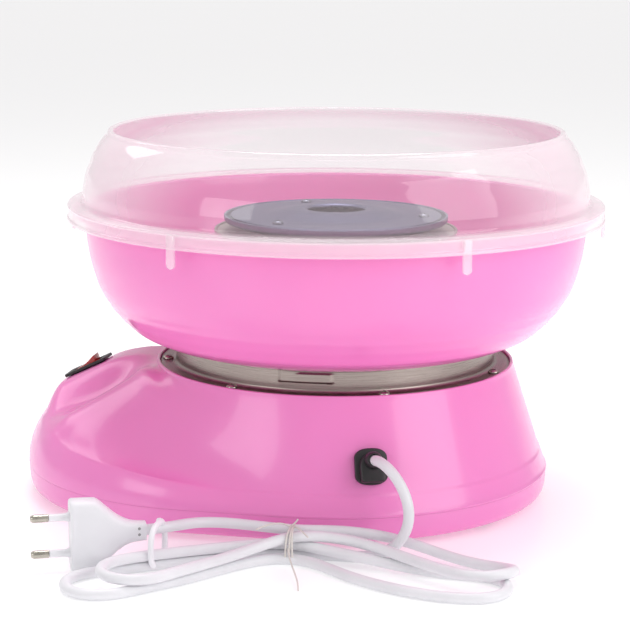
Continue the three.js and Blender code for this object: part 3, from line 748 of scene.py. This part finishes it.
def loft(name, profile_at, material, body, closed=True):
    turns = columns()
    points = []
    for turn in turns:
        profile = profile_at(turn)
        points += [(r * math.sin(rad(turn)), -r * math.cos(rad(turn)), z) for r, z in profile]
    return make(name, points, ring_faces(len(turns), len(profile), closed), material, body, sharp=38)


PAD_REACH = 140.0
PAD_Z = 62.6
PAD_SLOPE = math.atan(13.4 / 28)


def on_pad():
    """Places a shape with Z out of the nose's switch pad and Y up its slope."""
    return Matrix.Translation((0, -PAD_REACH, PAD_Z)) @ Matrix.Rotation(PAD_SLOPE, 4, "X")


GLAND_AZIMUTH = 19.0
GLAND_Z = 41.0
GLAND_R = 108.4
GLAND_TILT = 20.0


def on_wall():
    """Places a shape with X out of the side wall, at the mains lead."""
    x, y = polar(GLAND_R, GLAND_AZIMUTH)
    turn = Matrix.Rotation(rad(GLAND_AZIMUTH), 4, "Z") @ Matrix.Rotation(rad(-GLAND_TILT), 4, "Y")
    return Matrix.Translation((x, y, GLAND_Z)) @ turn


def cutter(shape, matrix=Matrix()):
    points, faces = shape
    return make("cutter", turned_points(points, matrix), faces, None)


def housing(pink):
    shares = [i / 30 for i in range(31)]
    lip = filleted(
        [(LIP_R, SHOULDER_Z), (LIP_R - 0.2, LIP_Z - 0.1, 0.7), (RECESS_R + 0.05, LIP_Z, 0.7),
         (RECESS_R, LEDGE_Z)], 4, False
    )
    inner_shares = [0.2, 0.4, 0.6, 0.8, 0.97]

    def profile(turn):
        outside = wall_points(turn, 0) + [top_point(turn, s) for s in reversed(shares)]
        inside = [top_point(turn, s) for s in inner_shares]
        bottom = outline_radius(turn) - WALL
        under = [(r - WALL, z - WALL) for r, z in inside]
        foot = [(bottom - 2.6, crease_height(abs(turn)) - 7), (bottom, PART_Z + 2), (bottom, PART_Z + 0.3)]
        return outside + lip[1:] + [(88, LEDGE_Z), (88, 69.3), (LIP_R - 1.2, 69.3)] + under + foot

    shell = loft("housing_shell", profile, pink, "base")
    boolean(shell, [cutter(rounded_box(13.2, 20.2, -14, 14, 1), on_pad())])
    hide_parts("base_housing")
    return shell


def cover(pink):
    def profile(turn):
        r = outline_radius(turn)
        outside = [(r - 7.4, 3), (r - 5.2, 3.1), (r - 3.4, 3.8), (r - 2, 5), (r - 1.1, 6.8), (r - 0.6, 9)]
        outside.append((r - 0.3, 12.5))
        top = [(r - 0.15, 15.4), (r - 0.15, 16.1), (r - 0.25, PART_Z - 0.04), (r - 2.4, PART_Z - 0.04)]
        inside = [(r - 2.6, 10), (r - 3.2, 7), (r - 5, 5.6), (r - 8, 5.3)]
        return outside + top + inside

    turns = columns()
    points = []
    for turn in turns:
        line = profile(turn)
        points += [(r * math.sin(rad(turn)), -r * math.cos(rad(turn)), z) for r, z in line]
    rows = len(line)
    faces = ring_faces(len(turns), rows, False)
    faces.append(tuple(c * rows for c in range(len(turns))))
    faces.append(tuple(c * rows + rows - 1 for c in reversed(range(len(turns)))))
    tray = make("cover_tray", points, faces, pink, "base", sharp=38)
    slots = []
    for x in (-20, -10, 0, 10, 20):
        slots.append(cutter(rounded_box(4, 34, 0, 12, 1.95, 6), Matrix.Translation((x, 0, 0))))
    wells = []
    for x, y in BASE_SCREWS:
        wells.append(cutter(rounded_box(8.4, 8.4, 1, 4.4, 4.15, 8), Matrix.Translation((x, y, 0))))
    boolean(tray, slots + wells)
    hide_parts("bottom_cover")


def feet(rubber):
    for i, (x, y) in enumerate(FEET, 1):
        corners = [(0, 0.5), (5, 0.5), (5.6, 0.06, 0.6), (8.4, 0.05, 0.8), (9, 1, 0.6), (8.6, 2.7), (0, 2.7)]
        turn = Matrix.Translation((x, y, 0)) @ Matrix.Rotation(rad(-90), 4, "Y")
        pad = turned_piece(f"foot_pad_{i}", corners, turn, rubber, 40, "base", True)
        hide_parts(f"foot_{i}")


def cross_cutter(width, length, low, high, matrix):
    bar = rounded_box(width, length, low, high, 0.1, 1)
    return [cutter(bar, matrix @ Matrix.Rotation(rad(angle), 4, "Z")) for angle in (0, 90)]


def screw_heads(prefix, cad, places, seat, height, radius, material, body):
    """Domed heads with a cross recess; each replaces its CAD screw."""
    for i, (x, y) in enumerate(places, 1):
        dome = [(0, -2), (1.3, -2), (1.3, 0), (radius, 0, 0.2), (radius * 0.93, height * 0.45, 0.5)]
        dome += [(radius * 0.6, height * 0.9, 0.6), (0, height)]
        place = Matrix.Translation((x, y, seat)) @ Matrix.Rotation(rad(17 * i), 4, "Z")
        upright = place @ Matrix.Rotation(rad(-90), 4, "Y")
        head = turned_piece(f"{prefix}_{i}", dome, upright, material, 28, body, True)
        boolean(head, cross_cutter(0.7, radius * 1.25, height * 0.35, height + 1, place))
        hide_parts(f"{cad}_{i}")


# ---------------------------------------------------------------- collar, bowl and guard
TRACK_AZIMUTH = -0.4
TRACK_HALF = 9.3
PRESS_DEPTH = 1.15


def track_depth(azimuth, z):
    """How far the drum wall is pressed out at a place, for the bowl's lugs."""
    depth = 0.0
    for i in range(3):
        offset = (azimuth - TRACK_AZIMUTH - 120 * i + 180) % 360 - 180
        along = ease(-TRACK_HALF, -8.4, offset) * (1 - ease(8.2, TRACK_HALF, offset))
        up = ease(78.9, 79.9, z) * (1 - ease(83.7, 84.7, z))
        entry = ease(-TRACK_HALF, -8.5, offset) * (1 - ease(-3, -2.1, offset)) * ease(79, 80, z)
        depth = max(depth, along * up, entry)
    return PRESS_DEPTH * depth


def collar(steel):
    flange = LEDGE_Z + 2.4
    wall = DRUM_R - 1
    heights = [75.9, 77.2, 78.6] + [79 + 0.3 * i for i in range(20)] + [85.1]
    outside = [(95.2, flange - 1), (95.3, flange - 0.3), (94.9, flange), (92, flange), (89.6, flange)]
    outside += [(88.6, flange + 0.15), (87.9, flange + 0.5), (87.35, flange + 1.05), (87.05, flange + 1.7)]
    rows = outside + [(DRUM_R, z) for z in heights]
    rows += [(DRUM_R - 0.2, DRUM_TOP), (wall + 0.2, DRUM_TOP)]
    rows += [(wall, z) for z in (85.2, 84.7, 84, 83, 82, 81, 80, 79.4, 78.8)]
    rows += [(wall, flange + 1), (wall + 1, flange - 1)]
    points = []
    segments = 480
    for s in range(segments):
        azimuth = 360 * s / segments
        for r, z in rows:
            press = track_depth(azimuth, z) if r <= DRUM_R and z > 78 else 0
            points.append((*polar(r + press, azimuth), z))
    made = make("collar_drum", points, ring_faces(segments, len(rows)), steel, "base", sharp=45)
    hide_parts("steel_collar")


BOWL_SIDE = [
    (91, 86.25), (99, 88.6), (107.5, 92.3), (111.7, 95.2), (114.5, 97.8), (117.3, 100.5), (119.8, 103.5),
    (122.3, 106.4), (124.1, 109.4), (126.2, 112.6), (128.9, 118.2), (130.2, 122), (131.8, 127.6),
    (132.9, 132), (133.8, 137), (134.8, 145), (135.4, 155.2),
]


def bowl(pink):
    neck = [(82.6, 78), (84.9, 78), (NECK_R, 78.5), (NECK_R, 84.9), (NECK_R + 0.4, 85.9)]
    outside = neck + through(BOWL_SIDE, 3)
    rim = filleted(
        [(135.6, 155.8), (136.4, 156.2, 0.4), (142.2, 156.2, 0.5), (142.2, 158.8, 0.5), (133.4, 158.8, 0.9),
         (133.1, 155)], 4, False)
    inside = [(r - 2.3, z + 0.2) for r, z in BOWL_SIDE[2:-1]]
    inside = through([(133, 154), *reversed(inside), (98, 91.2), (88, 88.9), (80, 88.5)], 3)
    collar_part = filleted([(78.8, 88.6, 1), (77.2, 99.4, 0.7), (75, 99.4, 0.7), (75, 86), (82.6, 86, 1)], 4)
    shell = revolve("bowl_shell", outside + rim + inside + collar_part, pink, "floss_bowl", 200)
    for i in range(3):
        azimuth = TRACK_AZIMUTH - TRACK_HALF + 3.5 + 120 * i
        x, y = polar((NECK_R + DRUM_R) / 2 - 0.1, azimuth)
        shape = rounded_box(1.7, 6.4, 80.5, 83, 0.5, 3)
        place = Matrix.Translation((x, y, 0)) @ Matrix.Rotation(rad(azimuth), 4, "Z")
        lug = make(f"bowl_lug_{i + 1}", turned_points(shape[0], place), shape[1], pink, "floss_bowl")
        bevelled(lug, 0.3, 2)
    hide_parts("floss_bowl")


DOME_SIDE = [
    (136.4, 163.4), (136.5, 166), (136.4, 168.9), (135.9, 171.8), (135.3, 174.9), (134.5, 177.9),
    (133.3, 181), (132, 184.1), (130.8, 187.3), (129.1, 190.3), (127.2, 193.4), (125.3, 195.8),
    (123.7, 197.6),
]


TAB_AZIMUTH = -24.5


def guard(clear):
    skirt = filleted(
        [(143.2, 152.9, 0.4), (RING_R, 152.9, 0.5), (RING_R, 154.4, 0.6), (144.2, 155.2, 0.4),
         (144.2, 159.9, 0.4), (RING_R - 0.1, 160.4, 0.5), (144.2, 161.3, 0.7), (138, 161.1, 0.8),
         (136.9, 162.2, 0.9)], 4, False)
    side = through(DOME_SIDE, 3)
    lip = [(123.1, 198.6), (122.9, 199.4), (122.3, 200), (121.5, 200.3), (120.6, 200.3), (119.9, 199.9)]
    lip += [(119.7, 199.3), (120.2, 198.6), (121, 197.9), (121.6, 197.2)]
    inside = through([(r - 1.7, z - 0.5) for r, z in reversed(DOME_SIDE[1:])] + [(134.8, 160.6)], 3)
    outline = skirt + side + lip + inside + [(135.2, 159.4), (142.4, 159.3), (143, 158.8), (143.1, 156)]
    ring = revolve("guard_dome", outline, clear, "splash_guard", 216)
    arc = [(2.4 * math.cos(rad(a)), 145.5 + 2.4 * math.sin(rad(a))) for a in range(180, 361, 15)]
    outline = [(-2.4, 160.2), *arc, (2.4, 160.2)]
    for i in range(6):
        points, faces = extrude(outline, 143.15, 144.9)
        turn = Matrix.Rotation(rad(TAB_AZIMUTH + 60 * i), 4, "Z")
        placed = turned_points([(r, y, z) for y, z, r in points], turn)
        tab = make(f"guard_tab_{i + 1}", placed, faces, clear, "splash_guard")
        bevelled(tab, 0.35, 2)
    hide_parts("splash_guard")


# ---------------------------------------------------------------- spinning head
def head(aluminium, nickel):
    pan = filleted(
        [(3.1, 139, 0.3), (9, 139, 0.8), (9, 148.6, 0.6), (56, 148.6, 2), (60.6, 150.4, 1.2),
         (60.8, 153.7, 0.5), (59.4, 153.7, 0.5), (59, 151.4, 1), (55.6, 149.8, 0.6), (3.1, 149.8, 0.2)], 4)
    made = revolve("head_pan", pan, aluminium, "extractor_head", 144)
    boolean(made, [cutter(rounded_box(24, 2.6, 138, 142.3, 0.1, 1))])
    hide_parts("extractor_pan")
    cap = filleted(
        [(57, 152.3, 0.3), (57.2, 153.6, 0.4), (47, 153.65, 1), (43, 153.8, 1), (38, 154, 2), (31, 155.4, 3),
         (26, 156.5, 1.6), (21, 157.05, 1.2), (17, 157.1, 0.6), (15.4, 156.2, 0.6), (15.4, 155.3, 0.3),
         (21.6, 155.6, 1), (26.4, 154.7, 1), (38.4, 152.6, 1), (44, 152.4, 0.4), (44, 150.2, 0.2),
         (52, 150.2, 0.2), (52, 152.3, 0.2)], 4)
    made = revolve("head_cap", cap, aluminium, "extractor_head", 180)
    window, quads = rounded_box(12, 3.2, 150.4, 152.2, 0.2, 1)
    points, faces = [], []
    for base in (30, 150, 270):
        for k in range(12):
            place = Matrix.Rotation(rad(base - 44 + k * 8), 4, "Z") @ Matrix.Translation((48, 0, 0))
            faces += [tuple(len(points) + i for i in quad) for quad in quads]
            points += turned_points(window, place)
    boolean(made, [make("cutter", points, faces, None)])
    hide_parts("extractor_cap")
    hub = filleted(
        [(3.2, 150.1, 0.2), (7.5, 150.1, 0.3), (7.5, 152.6, 0.6), (5.4, 154, 1.2), (1.4, 154.5, 0.5),
         (0.01, 154.5), (0.01, 152.5), (3.2, 152.5, 0.2)], 4)
    made = revolve("head_hub_cap", hub, aluminium, "extractor_head", 48)
    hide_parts("hub_cap")
    places = [polar(48, a) for a in (90, 210, 330)]
    screw_heads("head_screw_dome", "head_screw", places, 153.8, 1.7, 3.0, nickel, "extractor_head")


def can(steel):
    outline = filleted(
        [(51, 61.3), (57, 61.3, 0.3), (57, 62.3, 0.3), (52, 62.3, 0.8), (52, 144, 0.4), (65.4, 144, 0.4),
         (66, 144.4, 0.4), (66, 146, 0.5), (64.8, 146, 0.5), (64.4, 145.2, 0.5), (44, 145.2, 0.4),
         (44, 144, 0.3), (51, 144, 0.4)], 4)
    made = revolve("can_wall", outline, steel, "base", 144)
    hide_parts("heater_can")


# ---------------------------------------------------------------- switch and strain relief
def switch(black, red):
    shape = rounded_box(16, 26, 0.4, 2.0, 1.6, 5)
    plate = make("bezel_frame", turned_points(shape[0], on_pad()), shape[1], black, "base")
    body = cutter(rounded_box(12.6, 19.6, -15, 1.4, 0.6, 3), on_pad())
    boolean(plate, [body], "UNION")
    boolean(plate, [cutter(rounded_box(11, 17.6, -9, 10, 0.5, 3), on_pad())])
    bevelled(plate, 0.35, 3, 50)
    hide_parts("switch_bezel")
    side = filleted(
        [(-6.6, 1.9, 0.5), (0, 2.5, 6), (6.6, 5.4, 0.5), (5.7, -5.4, 0.8), (0, -7.4, 2), (-5, -5.4, 0.8)], 7)
    points, faces = extrude(side, -5, 5)
    placed = [(x, y, z) for y, z, x in points]
    rocker = make("rocker_key", turned_points(placed, on_pad()), faces, red, "switch_rocker")
    bevelled(rocker, 0.45, 3, 50)
    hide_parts("switch_rocker")


def gland(black):
    """D-shaped clamp: a bowed face plate, a deeper block and a collar where the lead comes out."""
    half = filleted(
        [(-8.3, -6.4, 2), (-5, -8.9, 3), (0, -9.4, 4), (5, -8.9, 3), (8.3, -6.4, 2),
         (8.3, 6.4, 2), (5, 8.9, 3), (0, 9.4, 4), (-5, 8.9, 3), (-8.3, 6.4, 2)], 4)
    points, faces = extrude(half, 0.9, 3.9)
    placed = turned_points([(x, y, z) for y, z, x in points], on_wall())
    plate = make("relief_plate", placed, faces, black, "base")
    bevelled(plate, 0.7, 3, 40)
    block = filleted(
        [(-6, -8.2, 2), (6, -8.2, 2), (6.4, 1, 2), (4.6, 5.4, 3), (0, 6.6, 3), (-4.6, 5.4, 3),
         (-6.4, 1, 2)], 4
    )
    points, faces = extrude(block, 3, 8.6)
    placed = turned_points([(x, y, z) for y, z, x in points], on_wall())
    cheek = make("relief_block", placed, faces, black, "base")
    bevelled(cheek, 1.1, 4, 40)
    neck = [(0.01, -14), (5.9, -14, 0.4), (5.9, 0.5), (0.01, 0.5)]
    turned_piece("relief_neck", neck, on_wall(), black, 32, "base", True)
    boot = [(0.01, 0), (4.7, 0, 0.3), (4.4, 5.2, 0.8), (3.5, 7.2, 0.5), (2.75, 7.4, 0.2), (2.75, 5)]
    way = Matrix.Translation((106.2, 49.6 - AXIS_Y, 45.2)) @ on_wall().to_quaternion().to_matrix().to_4x4()
    sleeve = turned_piece("relief_sleeve", boot, way, black, 32, "base", True)
    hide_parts("strain_relief")
    return [plate, cheek, sleeve]


def assign(material, *nodes):
    for node in nodes:
        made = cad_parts[node]
        for i in range(max(1, len(made.material_slots))):
            if made.material_slots:
                made.material_slots[i].link = "OBJECT"
                made.material_slots[i].material = material


# ---------------------------------------------------------------- assembly
def build():
    camera()
    studio()
    white = cord_sheath()
    moulded = plain_plastic("white_moulding", (0.83, 0.83, 0.86), (0.88, 0.88, 0.91), 0.38)
    nickel = plain_metal("bright_nickel", (0.4, 0.38, 0.33), (0.52, 0.49, 0.43), 0.28)
    dull = plain_metal("dull_nickel", (0.16, 0.16, 0.2), (0.22, 0.22, 0.27), 0.4)
    grey = plain_plastic("grey_dot", (0.25, 0.25, 0.25), (0.32, 0.32, 0.32), 0.6)
    twine = plain_plastic("paper_tie", (0.68, 0.64, 0.6), (0.76, 0.72, 0.68), 0.7)
    lead, length, ends = cord(white, moulded, twine, nickel, grey)

    pink = pink_plastic()
    black = plain_plastic("black_moulding", (0.012, 0.011, 0.012), (0.022, 0.02, 0.021), 0.42, 900, 0.0004)
    red = plain_plastic("red_rocker", (0.42, 0.012, 0.014), (0.5, 0.02, 0.02), 0.22, 500, 0.0002, 0.4)
    rubber = plain_plastic("dark_rubber", (0.03, 0.028, 0.03), (0.045, 0.042, 0.045), 0.8, 1200, 0.0005)
    steel = spun_steel()
    aluminium = satin_aluminium()
    dark_steel = plain_metal("plain_steel", (0.26, 0.26, 0.27), (0.36, 0.36, 0.37), 0.42)
    bronze = plain_metal("sintered_bronze", (0.42, 0.26, 0.1), (0.52, 0.34, 0.15), 0.5, 900)
    ceramic = plain_plastic("ceramic", (0.74, 0.7, 0.62), (0.8, 0.77, 0.7), 0.65, 1500, 0.0005)

    housing(pink)
    cover(pink)
    feet(rubber)
    collar(steel)
    bowl(pink)
    guard(clear_plastic())
    head(aluminium, dull)
    can(steel)
    switch(black, red)
    gland(black)
    collar_places = [polar(COLLAR_SCREW_R, -26 + i * 360 / 7) for i in range(7)]
    screw_heads("collar_screw_dome", "collar_screw", collar_places, LEDGE_Z + 2.6, 1.8, 3.0, nickel, "base")

    assign(dark_steel, "heat_shield", "motor_mount", "motor_body", "heater_ring")
    assign(dark_steel, *[f"mount_screw_{i}" for i in (1, 2, 3)], *[f"base_screw_{i}" for i in (1, 2, 3, 4)])
    assign(steel, "motor_shaft", "drive_pin")
    assign(bronze, "shaft_bush")
    assign(ceramic, *[f"heater_post_{i}" for i in (1, 2, 3)])
    assign(black, "cooling_fan", "thermal_cutout")
    assign(moulded, "terminal_block")


build()
